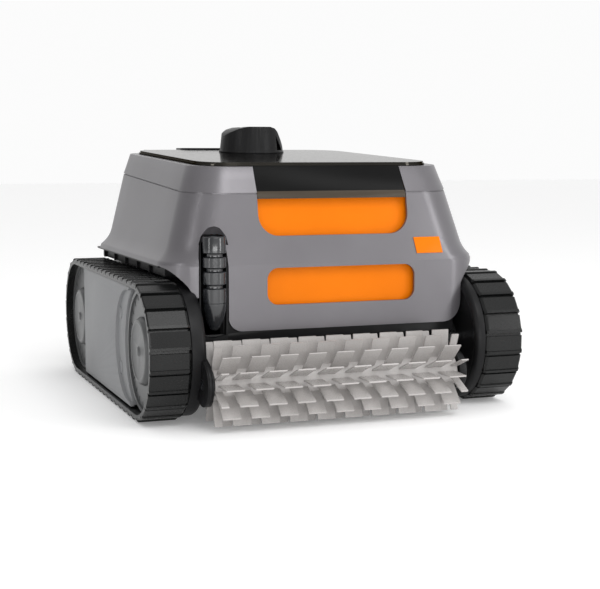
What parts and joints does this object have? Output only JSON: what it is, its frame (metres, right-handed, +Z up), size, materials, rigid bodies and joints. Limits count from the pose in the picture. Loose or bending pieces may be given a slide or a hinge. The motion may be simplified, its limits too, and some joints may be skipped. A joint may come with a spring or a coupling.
{
  "type": "tracked pool cleaner",
  "caption": "Underwater cleaning robot: crawler tracks each side, bladed front brush, sloped grey casing over an orange filter canister, smoked lid with a water nozzle, and a cable boot.",
  "frame": {"origin": "on the floor, at the middle of the overall footprint", "axes": "+Z up, the front with the brush faces -Y, +X to the right seen from the front"},
  "size_m": [0.359, 0.4326, 0.2666],
  "materials": {
    "black_plastic": "satin moulded black",
    "lid_black": "gloss black",
    "casing_grey": "metallic grey lacquer",
    "smoked_lid": "polished smoked plastic",
    "orange_plastic": "glossy orange",
    "track_rubber": "ribbed matt rubber",
    "seal_rubber": "matt",
    "wheel_grey": "satin",
    "plate_grey": "fine satin",
    "gear_plastic": "satin",
    "steel": "fine turned",
    "bronze": "turned",
    "brush_rubber": "soft light grey",
    "screen_mesh": "fine mesh",
    "foam": "closed-cell foam"
  },
  "bodies": {
    "root": {"chassis": "black_plastic", "shell": "casing_grey", "top_rim": "casing_grey", "hinge_pins": "steel", "carry_handle": "black_plastic", "badge": "orange_plastic", "cable_bracket": "black_plastic", "cable_boot": "gear_plastic", "filter_canister": "orange_plastic", "filter_screen_left": "screen_mesh", "filter_screen_right": "screen_mesh", "filter_handle": "orange_plastic", "intake_throat": "black_plastic", "flap_pin": "steel", "motor_block": "black_plastic", "motor_cover": "black_plastic", "pump_duct": "black_plastic", "duct_seal": "seal_rubber", "float_blocks": "foam", "shaft_bushes": "bronze", "side_frame_left": "black_plastic", "side_frame_right": "black_plastic", "track_left": "track_rubber", "track_right": "track_rubber", "axle_pins": "steel", "side_plate_left": "plate_grey", "side_plate_right": "plate_grey", "frame_screws": "steel", "brush_arm_left": "black_plastic", "brush_arm_right": "black_plastic", "brush_arm_cover": "black_plastic"},
    "lid": {"lid_panel": "smoked_lid", "lid_grip": "lid_black", "outlet_nozzle": "black_plastic", "outlet_grille": "black_plastic"},
    "flap": {"intake_flap": "black_plastic"},
    "propeller": {"propeller": "orange_plastic", "propeller_shaft": "steel"},
    "rear_wheel_left": {"rear_wheel_left": "wheel_grey", "hub_cap_rear_left": "wheel_grey", "drive_gear_left": "gear_plastic"},
    "rear_wheel_right": {"rear_wheel_right": "wheel_grey", "hub_cap_rear_right": "wheel_grey", "drive_gear_right": "gear_plastic"},
    "front_wheel_left": {"front_wheel_left": "wheel_grey", "hub_cap_front_left": "wheel_grey", "brush_drive_gear": "gear_plastic"},
    "front_wheel_right": {"front_wheel_right": "wheel_grey", "hub_cap_front_right": "wheel_grey"},
    "pinion_left": {"drive_pinion_left": "steel"},
    "pinion_right": {"drive_pinion_right": "steel"},
    "brush_idler": {"brush_idler_gear": "gear_plastic"},
    "brush": {"brush_core": "gear_plastic", "brush_blades": "brush_rubber", "brush_gear": "gear_plastic"}
  },
  "joints": [
    {"name": "lid_hinge", "type": "hinge", "parent": "root", "child": "lid", "pos_m": [0, 0.1604, 0.2382], "axis": [-1, 0, 0], "range_deg": [0, 85]},
    {"name": "flap_hinge", "type": "hinge", "parent": "root", "child": "flap", "pos_m": [0, -0.0466, 0.1046], "axis": [-1, 0, 0], "range_deg": [0, 70]},
    {"name": "propeller_spin", "type": "hinge", "parent": "root", "child": "propeller", "pos_m": [0, 0.0894, 0.17], "axis": [0, 0, 1], "continuous": true},
    {"name": "rear_left_spin", "type": "hinge", "parent": "root", "child": "rear_wheel_left", "pos_m": [0, 0.15379, 0.063], "axis": [1, 0, 0], "continuous": true},
    {"name": "rear_right_spin", "type": "hinge", "parent": "root", "child": "rear_wheel_right", "pos_m": [0, 0.15379, 0.063], "axis": [1, 0, 0], "continuous": true},
    {"name": "front_left_spin", "type": "hinge", "parent": "root", "child": "front_wheel_left", "pos_m": [0, -0.11871, 0.063], "axis": [1, 0, 0], "continuous": true},
    {"name": "front_right_spin", "type": "hinge", "parent": "root", "child": "front_wheel_right", "pos_m": [0, -0.11871, 0.063], "axis": [1, 0, 0], "continuous": true},
    {"name": "pinion_left_spin", "type": "hinge", "parent": "root", "child": "pinion_left", "pos_m": [0, 0.09779, 0.063], "axis": [1, 0, 0], "continuous": true},
    {"name": "pinion_right_spin", "type": "hinge", "parent": "root", "child": "pinion_right", "pos_m": [0, 0.09779, 0.063], "axis": [1, 0, 0], "continuous": true},
    {"name": "brush_idler_spin", "type": "hinge", "parent": "root", "child": "brush_idler", "pos_m": [0, -0.14859, 0.05155], "axis": [1, 0, 0], "continuous": true},
    {"name": "brush_spin", "type": "hinge", "parent": "root", "child": "brush", "pos_m": [0, -0.17847, 0.0401], "axis": [1, 0, 0], "continuous": true}
  ],
  "couplings": [
    {"joint": "front_left_spin", "follows": "rear_left_spin", "ratio": 1},
    {"joint": "front_right_spin", "follows": "rear_right_spin", "ratio": 1},
    {"joint": "pinion_left_spin", "follows": "rear_left_spin", "ratio": -3.6667},
    {"joint": "pinion_right_spin", "follows": "rear_right_spin", "ratio": -3.6667},
    {"joint": "brush_idler_spin", "follows": "rear_left_spin", "ratio": -1},
    {"joint": "brush_spin", "follows": "rear_left_spin", "ratio": 1}
  ]
}
